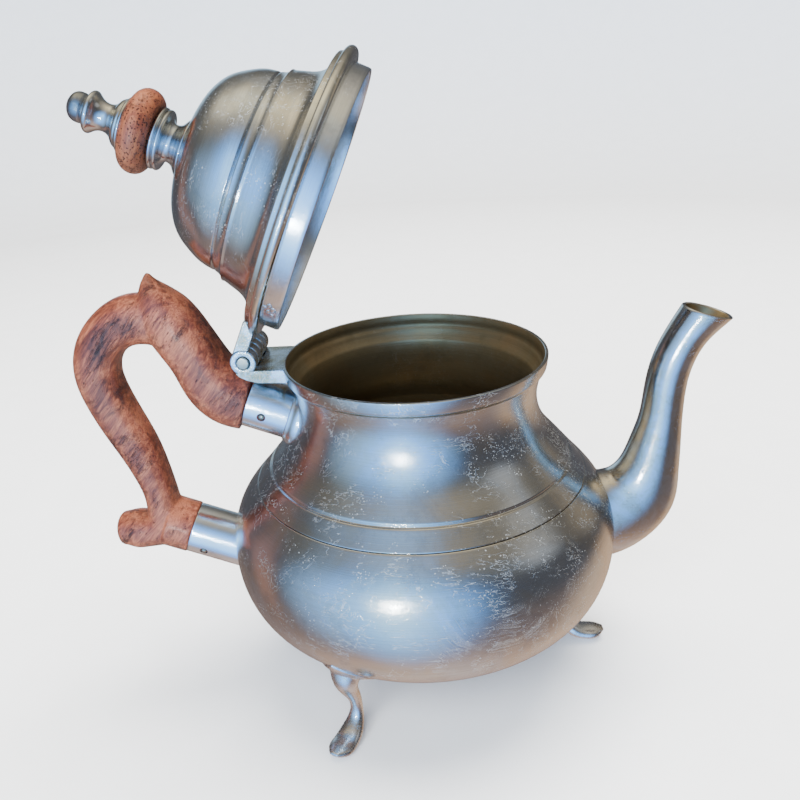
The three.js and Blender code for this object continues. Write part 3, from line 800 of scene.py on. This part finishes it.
def make_socket(name, mouth, rivet_turn, replaced):
    far = [-d for d in np.linspace(0.25, 30, 60)]
    lip = [(0, SOCKET_R - 0.3), (-0.08, SOCKET_R - 0.1)]
    outer = straight_tube(mouth, lip + [(d, SOCKET_R) for d in far], 50)
    inner_r = SOCKET_R - SOCKET_WALL
    inner = straight_tube(mouth, [(0, inner_r + 0.15), (-0.1, inner_r)] + [(d, inner_r) for d in far], 40)
    verts, faces = skin(np.concatenate([outer, inner[::-1]]), "loop")
    socket = joined_mesh(name, [(verts, faces)])
    start, end = rivet_ends(mouth, rivet_turn, SOCKET_R + 4)
    cut(socket, joined_mesh("hole", [rod_between(start, end, RIVET_HOLE_R, 32)]))
    finish_piece(socket, "pot", "bright_pewter", bright_metal, [replaced])


def make_rivet(name, mouth, turn, replaced):
    start, end = rivet_ends(mouth, turn, SOCKET_R - 0.05)
    along = (end - start).normalized()
    length = (end - start).length
    head = [(0, -0.28), (0.6, -0.2), (1.0, 0.05), (RIVET_R, 0.4)]
    far_head = [(r, length - z) for r, z in reversed(head)]
    verts, faces = turned(np.array(head + far_head, float), 32)
    turn_to = Vector((0, 0, 1)).rotation_difference(along).to_matrix()
    verts = [start + turn_to @ Vector(v) for v in verts]
    piece(name, verts, faces, "pot", "steel", pin_metal, [replaced], 60)


def make_socket_flange():
    flare = [(-15.2, 0.05), (-15.3, 0.5), (-16.2, 0.9), (-17.4, 1.7), (-18.4, 2.2), (-19.4, 2.35)]
    line = smooth_line([(d, SOCKET_R + step) for d, step in flare], 0.3)
    outer = np.vstack([line, [(d, SOCKET_R + 2.4) for d in np.arange(-20, -32, -0.6)]])
    rings = straight_tube(UPPER_MOUTH, [tuple(p) for p in outer], 40)
    inner = straight_tube(UPPER_MOUTH, [(d, SOCKET_R - 0.1) for d in np.arange(-15.2, -32, -0.6)], 30)
    verts, faces = skin(np.concatenate([rings, inner[::-1]]), "loop")
    flange = joined_mesh("socket_flange", [(verts, faces)])
    finish_piece(flange, "pot", "bright_pewter", bright_metal, ["upper_socket_flange"], 50)


# ---- handle ----
def make_handle():
    arm = sections_along([
        [-60.2, 108.6, 10.8, 10.1], [-65.8, 111, 11.3, 10.5], [-71.3, 116.4, 10.9, 10.4],
        [-75.6, 124.8, 9.8, 10.2], [-79.6, 132.4, 9.8, 10.1], [-83.6, 139.6, 9.5, 9.6],
        [-86.3, 145.2, 7.9, 8.2], [-87.8, 149.6, 5.3, 5.9], [-88.5, 152.8, 2.9, 3.4], [-88.6, 156, 0.6, 0.8],
    ], 0.7, 64, 2.3)
    grip = sections_along([
        [-72, 122, 6, 6], [-78, 131, 7.4, 7.2], [-86, 138.4, 8.6, 7.7], [-97, 140.1, 8.8, 8],
        [-104.3, 136.7, 8.2, 8], [-109.6, 130.6, 8, 8], [-112, 122, 8, 7.9], [-110.3, 111.8, 7.9, 7.8],
        [-106.6, 101.5, 7.7, 7.7], [-102.6, 91.4, 7.2, 7.4], [-99.8, 82, 6.4, 7.1], [-98, 73, 5.9, 7],
        [-97.6, 64, 6.3, 7.3], [-97.8, 55.5, 6.4, 7.2],
    ], 0.7, 64, 2.3)
    curl = sections_along([
        [-91, 60, 7, 7.2], [-99, 58.2, 7.4, 7.8], [-104.5, 57.2, 7, 7.7], [-109.3, 57.3, 7.4, 7.6],
        [-113.4, 57.5, 6.5, 6.6], [-116.2, 57.5, 4, 4.2], [-117.2, 57.5, 0.8, 1],
    ], 0.7, 64, 2.1)
    shells = [skin(grid) for grid in (arm, grip, curl)]
    shells.append(rod_between(from_mouth(LOWER_MOUTH, 0.1), from_mouth(LOWER_MOUTH, 9.8), SOCKET_R + 0.3, 64))
    tenon_r = SOCKET_R - SOCKET_WALL - 0.1
    for mouth in (UPPER_MOUTH, LOWER_MOUTH):
        shells.append(rod_between(from_mouth(mouth, 3), from_mouth(mouth, -10.5), tenon_r, 48))
    handle = joined_mesh("carved_handle", shells)
    fused(handle, 0.5, 3)
    finish_piece(handle, "pot", "handle_wood", handle_wood, ["handle"], 70)


# ---- feet ----
def leaf_plate():
    """The knee's leaf: a pointed oval that hugs the body, thickest along its middle rib."""
    rows, columns = 24, 32
    top, bottom = [], []
    for i in range(rows + 1):
        across = -1 + 2 * i / rows
        half = 10.4 * max(1 - abs(across) ** 1.7, 0) ** 0.9 + 0.05
        for j in range(columns + 1):
            side = -1 + 2 * j / columns
            radial = 55.2 + across * 10.4
            y = side * half
            distance = math.hypot(radial, y)
            height = float(np.interp(distance, body_line[:120, 0], body_line[:120, 1]))
            bulge = 1.6 * (1 - side * side) * (1 - across * across) + 0.45
            bottom.append((radial + bulge * 0.45, y, height - bulge))
            top.append((radial - 1.2, y, height + 2.2))
    width = columns + 1
    count = len(top)
    faces = []
    for i in range(rows):
        for j in range(columns):
            a, b, c, d = i * width + j, i * width + j + 1, (i + 1) * width + j + 1, (i + 1) * width + j
            faces.append((a, b, c, d))
            faces.append((count + d, count + c, count + b, count + a))
    edge = (
        list(range(width)) + [i * width + columns for i in range(1, rows + 1)]
        + [rows * width + j for j in range(columns - 1, -1, -1)] + [i * width for i in range(rows - 1, 0, -1)]
    )
    for a, b in zip(edge, edge[1:] + edge[:1]):
        faces.append((a, b, count + b, count + a))
    return top + bottom, faces


def make_foot(side, azimuth):
    leg = sections_along([
        [54.8, 35, 6.2, 6.6], [58.4, 27.4, 4.5, 4.9], [57.2, 22, 3.1, 3.2], [55, 17, 2.4, 2.35],
        [53.9, 12, 2.15, 2.15], [54.6, 7.6, 2.3, 2.8], [57.8, 3.9, 2.7, 4], [62.6, 2.3, 2.4, 4.5],
        [67, 2.6, 1.9, 3.8], [69.7, 3.4, 0.5, 1.5],
    ], 0.5, 48)
    foot = joined_mesh("leg_" + side, [skin(leg), leaf_plate()])
    fused(foot, 0.32, 5)
    floor_block = skin(np.array([
        [(30, -20, -9), (90, -20, -9), (90, 20, -9), (30, 20, -9)],
        [(30, -20, 0.02), (90, -20, 0.02), (90, 20, 0.02), (30, 20, 0.02)],
    ], float))
    cut(foot, body_plug(), joined_mesh("under", [floor_block]))
    turn = Matrix.Rotation(math.radians(azimuth), 4, "Z")
    foot.data.transform(turn)
    finish_piece(foot, "pot", "pewter", foot_metal, ["foot_" + side], 60)


# ---- hinge ----
def extruded(outline, from_y, to_y, bevel=0.35):
    """A flat outline in the XZ plane extruded along Y, its end edges softened."""
    outline = np.array(outline, float)
    middle = outline.mean(0)
    rings = []
    for y, shrink in ((from_y, bevel), (from_y + bevel, 0), (to_y - bevel, 0), (to_y, bevel)):
        away = outline - middle
        scale = 1 - shrink / np.abs(away).max(0)
        shape = middle + away * scale
        rings.append([(x, y, z) for x, z in shape])
    return skin(np.array(rings))


PITCH = 2 * HINGE_HALF_WIDTH / KNUCKLES
BRACKET_LOW, BRACKET_HIGH = 119.3, 123.9
LEAF_LOW, LEAF_HIGH = 126.4, 131.0
POT_KNUCKLES = (0, 2, 4)
LID_KNUCKLES = (1, 3)
KNUCKLE_GAP = 0.22


def knuckle_span(i, gap=KNUCKLE_GAP):
    start = -HINGE_HALF_WIDTH + i * PITCH
    return start + gap, start + PITCH - gap


def along_pin(verts):
    """Points turned about Z, laid along the hinge pin instead."""
    return [(HINGE_X + x, z, HINGE_Z + y) for x, y, z in verts]


def knuckle(i):
    """A ring around the pin, with rounded rims."""
    low, high = knuckle_span(i)
    inner = PIN_R + 0.05
    corners = (inner, low), (KNUCKLE_R, low), (KNUCKLE_R, high), (inner, high), (inner, low)
    outline = chained(straight(*corners), 0.7)
    verts, faces = turned(outline, 64)
    return along_pin(verts), faces


def pin_rod(low, high, radius):
    return rod_between((HINGE_X, low, HINGE_Z), (HINGE_X, high, HINGE_Z), radius, 48)


def hinge_half(name, outline, own, others, clearance, *trims):
    """A plate cleared around the other half's knuckles and bored for the pin, with its own knuckles."""
    half = joined_mesh(name, [extruded(outline, -HINGE_HALF_WIDTH + 0.1, HINGE_HALF_WIDTH - 0.1)])
    reliefs = [pin_rod(*knuckle_span(i, -0.15), KNUCKLE_R + clearance) for i in others]
    bore = pin_rod(-20, 20, PIN_R + 0.06)
    cut(half, joined_mesh("reliefs", reliefs), joined_mesh("bore", [bore]), *trims)
    combine(half, joined_mesh("rings", [knuckle(i) for i in own]), "UNION")
    return half


def make_bracket():
    strap = [
        (HINGE_X - 0.5, BRACKET_HIGH), (HINGE_X - 2.9, BRACKET_HIGH - 0.7),
        (HINGE_X - 1.9, BRACKET_LOW + 2.6), (HINGE_X + 0.6, BRACKET_LOW + 1.1),
        (HINGE_X + 4.2, BRACKET_LOW), (-38, BRACKET_LOW - 0.6), (-38, BRACKET_HIGH - 0.4),
        (-46, BRACKET_HIGH),
    ]
    bracket = hinge_half("hinge_plate", strap, POT_KNUCKLES, LID_KNUCKLES, 0.5, body_plug())
    finish_piece(bracket, "pot", "bright_pewter", hinge_metal, ["hinge_bracket"], 32)


def make_pin():
    end = HINGE_HALF_WIDTH + 0.25
    outline = chained(straight((0, -end), (PIN_R, -end), (PIN_R, end), (0, end)), 0.35, closed=False)
    verts, faces = turned(outline, 48)
    piece("hinge_rod", along_pin(verts), faces, "pot", "steel", pin_metal, ["hinge_pin"], 32)


def make_leaf():
    slab = [
        (HINGE_X, LEAF_HIGH), (HINGE_X, LEAF_LOW), (-46.4, LEAF_LOW), (-45.6, LEAF_LOW + 1.6),
        (-42.6, LEAF_HIGH - 0.6), (-43.6, LEAF_HIGH),
    ]
    leaf = hinge_half("lid_strap", slab, LID_KNUCKLES, POT_KNUCKLES, 0.15)
    finish_piece(leaf, "lid", "bright_pewter", hinge_metal, ["lid_leaf"], 32)


# ---- lid ----
def make_dome():
    foot = smooth_line([
        (43.1, 129.3), (41.1, 130.3), (38.3, 132.1), (36.5, 134.9), (35.5, 138), (34.7, 140.5),
    ], 0.5)
    step = [(34.7, 140.5), (34.75, 141.3), (33.9, 141.8)]
    ledge = smooth_line([(33.9, 141.8), (33.1, 143), (32.75, 144.2)], 0.4)
    groove = [(32.75, 144.2), (32.1, 144.75), (32.55, 145.3)]
    cap = smooth_line([
        (32.55, 145.3), (32.2, 147.6), (31.3, 150.6), (29.6, 153.9), (26.8, 158), (22.7, 161.3),
        (17, 163.6), (10, 164.9), (1.7, 165.2),
    ], 0.6)
    centre_edge = [(1.7, 165.2), (1.7, 164.2)]
    inside = smooth_line([
        (1.7, 164.2), (10, 163.9), (16.8, 162.6), (22.3, 160.4), (26.1, 157.2), (28.8, 153.2), (30.6, 149.8),
        (31.3, 146.6), (31.8, 143.6), (33.3, 141), (34.4, 137.8), (35.4, 134.4), (37.4, 131.3),
        (40.4, 129.3), (42.2, 128.6),
    ], 0.9)
    lip = [(42.2, 128.6), (43.1, 129.3)]
    outline = chained([foot, step, ledge, groove, cap, centre_edge, inside, lip], 0.25)
    turned_piece("dome_shell", outline, ROUND, "lid", "pewter", lid_metal, "lid_dome", 55)


def make_flange():
    inside = COLLAR_R + 0.05
    roll = arc((46, 126.4), 1.75, -80, 62, 20)
    bead = arc((44.35, 129.15), 0.75, 5, 165, 14)
    outline = chained([
        [(inside, 124.5), roll[0]], roll, [roll[-1], (45.35, 128.35), bead[0]], bead,
        *straight(bead[-1], (inside - 0.4, 129.3), (inside, 128.5), (inside, 124.5)),
    ], 0.2)
    turned_piece("rolled_flange", outline, ROUND, "lid", "pewter", flange_metal, "lid_flange", 45)


def make_collar():
    inside = COLLAR_R - 0.9
    tip, top = (COLLAR_R - 0.15, 119.2), 128.8
    outline = chained(straight(tip, (COLLAR_R, 120.2), (COLLAR_R, top), (inside, top), (inside, 119.3), tip))
    turned_piece("lid_ring", outline, ROUND, "lid", "bright_pewter", bright_metal, "lid_collar", 45)


SOLDER_LUMPS = [  # bearing in degrees, height, half-length
    (228, 121.7, 1.6), (230.6, 123.0, 1.3), (225.8, 122.9, 1.4), (228.6, 124.3, 1.0), (223.6, 121.6, 1.1),
]
SOLDER_HALF_DEPTH = 0.55


def make_solder():
    """Low lumps of solder left on the outside of the collar, near the hinge. They clear the mouth."""
    blobs = []
    for bearing, height, size in SOLDER_LUMPS:
        turn = math.radians(bearing)
        out = np.array([math.cos(turn), math.sin(turn), 0])
        along = np.array([-math.sin(turn), math.cos(turn), 0])
        centre = out * (COLLAR_R - 0.2) + [0, 0, height]
        line = arc((0, 0), size, -90, 90, 16)
        verts, faces = turned(np.array([(max(r, 0), z) for r, z in line]) * [1, 0.75], 24)
        verts = [centre + out * x * SOLDER_HALF_DEPTH / size + along * y + [0, 0, z] for x, y, z in verts]
        blobs.append((verts, faces))
    solder = joined_mesh("solder_lumps", blobs)
    fused(solder, 0.12, 3)
    finish_piece(solder, "lid", "bright_pewter", foot_metal, (), 80)


# ---- finial ----
BORE = 1.6
DISC_LOW, DISC_HIGH = 175.75, 184.4


def make_finial():
    base_side = smooth_line([
        (9.9, 165.6), (9.3, 166.3), (8, 167.3), (6.7, 168.4), (6.1, 169.8), (6.3, 171), (7.4, 171.9),
    ], 0.25)
    base = chained([
        *straight((BORE, 165.3), (9.9, 165.3), (9.9, 165.6)), base_side,
        [(7.4, 171.9), (8.9, 172.2)], arc((8.95, 172.85), 0.75, -70, 70, 12), [(9.2, 173.5), (9.0, 173.7)],
        arc((9.1, 174.45), 0.75, -70, 75, 12),
        *straight((9.3, 175.2), (8.9, 175.7), (BORE, 175.7), (BORE, 165.3)),
    ], 0.12)
    turned_piece("finial_foot", base, SMALL_ROUND, "lid", "pewter", finial_metal, "finial_base", 40)

    middle, half = (DISC_LOW + DISC_HIGH) / 2, (DISC_HIGH - DISC_LOW) / 2
    bearings = np.linspace(-np.pi / 2, np.pi / 2, 40)
    side = [(9.3 + 4.2 * math.cos(a), middle + half * math.sin(a)) for a in bearings]
    disc = chained([
        [(BORE, DISC_LOW), side[0]], side, *straight(side[-1], (BORE, DISC_HIGH), (BORE, DISC_LOW)),
    ], 0.2)
    turned_piece("finial_wood", disc, 96, "lid", "disc_wood", disc_wood, "finial_disc", 50)

    top_side = smooth_line([
        (7.9, 186.5), (7.4, 187.3), (6.1, 188.3), (5, 189.5), (4.5, 191), (4.6, 192.4), (5.3, 194),
        (6.3, 195.2),
    ], 0.25)
    top = chained([
        [(BORE, 184.4), (8.5, 184.4)], arc((8.3, 185.1), 0.65, -80, 60, 12),
        *straight((8.55, 185.8), (7.9, 186), (7.9, 186.5)), top_side, arc((5.6, 196.1), 1.1, -40, 75, 14),
        *straight((5.7, 197.3), (4.7, 198.1), (BORE, 198.1), (BORE, 184.4)),
    ], 0.12)
    turned_piece("finial_neck", top, SMALL_ROUND, "lid", "pewter", finial_metal, "finial_top", 40)

    dome = smooth_line([
        (4.75, 199), (4.75, 200.4), (4.25, 201.8), (3, 202.9), (1.5, 203.5), (0, 203.6),
    ], 0.25)
    corners = (0, 201.6), (BORE, 201.6), (BORE, 198.25), (4.4, 198.25), (4.75, 199)
    cap = chained([*straight(*corners), dome], 0.15, closed=False)
    turned_piece("finial_tip", cap, SMALL_ROUND, "lid", "dark_pewter", cap_metal, "finial_cap", 45)


def make_fixings():
    """The rod through the finial, threaded below the dome, with its washer and nut."""
    thread = []
    for i in range(12):
        z = 159.3 + i * 0.5
        thread += [(1.5, z), (1.3, z + 0.25)]
    rod = np.array([(0, 159), (1.2, 159), *thread, (1.5, 166), (1.5, 200.9), (0, 200.9)])
    turned_piece("finial_screw", rod, 32, "lid", "steel", pin_metal, "finial_rod", 30)

    washer = chained(straight((1.8, 162.9), (6.2, 162.9), (6.2, 163.9), (1.8, 163.9), (1.8, 162.9)), 0.25)
    turned_piece("finial_washer_ring", washer, 64, "lid", "steel", pin_metal, "finial_washer", 40)

    corners = [(3.7 * math.cos(a), 3.7 * math.sin(a)) for a in np.radians(np.arange(0, 360, 60))]
    layers = [(159.9, 0.9), (160.25, 1), (162.2, 1), (162.55, 0.9)]
    grid = np.array([[(x * k, y * k, z) for x, y in corners] for z, k in layers])
    nut = joined_mesh("finial_hex", [skin(grid)])
    cut(nut, joined_mesh("bore", [rod_between((0, 0, 150), (0, 0, 170), 1.7, 32)]))
    finish_piece(nut, "lid", "steel", pin_metal, ["finial_nut"], 25)


# ---- build ----
make_bowl()
make_shoulder()
make_spout()
make_socket("upper_handle_socket", UPPER_MOUTH, 5, "upper_socket")
make_socket("lower_handle_socket", LOWER_MOUTH, 22, "lower_socket")
make_rivet("upper_pin", UPPER_MOUTH, 5, "upper_rivet")
make_rivet("lower_pin", LOWER_MOUTH, 22, "lower_rivet")
make_socket_flange()
make_handle()
for foot_side, foot_azimuth in FOOT_AZIMUTHS.items():
    make_foot(foot_side, foot_azimuth)
make_bracket()
make_pin()
make_leaf()
make_dome()
make_flange()
make_collar()
make_solder()
make_finial()
make_fixings()


# ---- floor, light and camera ----
FLOOR_EDGE = 1.1
SWEEP_R = 0.6
WALL_HEIGHT = 3.0
FLOOR_DROP = 0.0002  # keeps the paper just clear of the soles


def make_floor():
    """A pale floor that sweeps up into a round backdrop. The metal mirrors the room, not this paper."""
    shader = Shader("floor_paper")
    speckle = shader.noise(shader.node("ShaderNodeTexCoord").outputs["Object"], 40.0, 4, 0.6)
    shade = shader.mix(shader.band(speckle, 0.3, 0.7), (0.92, 0.92, 0.92, 1), (0.94, 0.94, 0.94, 1))
    shader.finish(Base_Color=shade, Roughness=0.8)
    bend = [
        (FLOOR_EDGE + SWEEP_R * math.sin(a), SWEEP_R * (1 - math.cos(a)))
        for a in np.linspace(0.1, np.pi / 2, 16)
    ]
    sweep = [(FLOOR_EDGE, 0), *bend, (FLOOR_EDGE + SWEEP_R, WALL_HEIGHT)]
    for name, line in (("floor", [(0, 0), (FLOOR_EDGE, 0)]), ("backdrop", sweep)):
        stage = joined_mesh(name, [turned(np.array(line, float), 96, closed=False)])
        stage.data.shade_smooth()
        stage.data.materials.append(shader.material)
        stage.location.z = -FLOOR_DROP
        stage.visible_glossy = False
        if name == "backdrop":
            stage.visible_diffuse = stage.visible_shadow = stage.visible_transmission = False


# the room that the metal mirrors: its colours by elevation in degrees, then patches of light, each with the
# bearing and elevation of its middle, its half-widths, all in degrees, its colour and its strength
ROOM_BY_ELEVATION = [
    (-90, "d8c4b8"), (-64, "c2a89c"), (-46, "86736c"), (-14, "4f4f53"), (12, "4c4c50"), (36, "64635f"),
    (60, "a8a194"), (90, "fff2cc"),
]
ROOM_PATCHES = [
    (-107, -4, 62, 74, "76b6ff", 0.85), (-106, 0, 22, 50, "9cd4ff", 0.8), (-152, -5, 30, 60, "86a8c8", 0.35),
    (38, -38, 50, 34, "d0b090", 0.35), (108, 6, 24, 20, "b8dcf6", 0.4), (28, 14, 22, 22, "c8b89c", 0.14),
    (150, 66, 60, 22, "fff0c8", 0.3), (168, -8, 16, 40, "c08878", 0.2), (-14, 30, 22, 16, "d8dce0", 0.2),
]
PATCH_GAIN = 2.25
ROOM_STRENGTH = 1.5


def make_world():
    world = bpy.data.worlds.new("room")
    bpy.context.scene.world = world
    world.use_nodes = True
    nodes = Nodes(world.node_tree)
    x, y, z = nodes.split(nodes.node("ShaderNodeTexCoord").outputs["Generated"])
    elevation = nodes.math("ARCSINE", z) * (180 / math.pi)
    bearing = nodes.math("ARCTAN2", y, x) * (180 / math.pi)
    stops = [((at + 90) / 180, shade) for at, shade in ROOM_BY_ELEVATION]
    room = nodes.ramp((elevation + 90) / 180, *stops)
    for middle, height, half_width, half_height, shade, strength in ROOM_PATCHES:
        across = nodes.math("WRAP", bearing - middle, 180, -180) / half_width
        up = (elevation - height) / half_height
        cover = nodes.band(nodes.hypotenuse(across, up), 0.3, 1.0, strength, 0.0)
        room = nodes.mix(cover, room, color(shade, PATCH_GAIN))
    background = nodes.tree.nodes["Background"]
    nodes.put(background.inputs[0], room)
    nodes.put(background.inputs[1], ROOM_STRENGTH)


WINDOW_SPREAD = math.radians(60)  # narrow, so that it lights the pot and not the floor in front of itself
LIGHTS_AIM = Vector((0, 0, 0.08))


def area_light(name, place, size, power, tint):
    data = bpy.data.lights.new(name, "AREA")
    data.shape = "ELLIPSE"
    data.size, data.size_y = size
    data.energy = power
    data.color = tint
    lamp = bpy.data.objects.new(name, data)
    lamp.location = place
    lamp.rotation_euler = (LIGHTS_AIM - Vector(place)).to_track_quat("-Z", "Y").to_euler()
    bpy.context.scene.collection.objects.link(lamp)
    return lamp


def make_lights():
    """Two soft lights that the metal doesn't mirror, and a small window that makes its bright spots."""
    window = area_light("window", (-0.16, -0.62, 0.09), (0.045, 0.028), 0.12, (0.93, 0.98, 1.0))
    window.data.spread = WINDOW_SPREAD
    front = area_light("front", (-0.3, -1.2, 1.1), (1.2, 1.0), 46, (0.97, 0.99, 1.0))
    above = area_light("above", (0.2, 0.3, 1.5), (1.4, 1.4), 85, (1.0, 0.99, 0.97))
    front.visible_glossy = above.visible_glossy = False


CAMERA_PLACE = (0.01271, -0.26481, 0.21761)
CAMERA_TURN = (67.104, 3.165, 1.336)
CAMERA_LENS = 36.38


def make_camera():
    data = bpy.data.cameras.new("camera")
    data.sensor_width = 36
    data.lens = CAMERA_LENS
    data.clip_start = 0.01
    camera = bpy.data.objects.new("camera", data)
    camera.location = CAMERA_PLACE
    camera.rotation_euler = [math.radians(a) for a in CAMERA_TURN]
    bpy.context.scene.collection.objects.link(camera)
    bpy.context.scene.camera = camera


make_floor()
make_world()
make_lights()
make_camera()
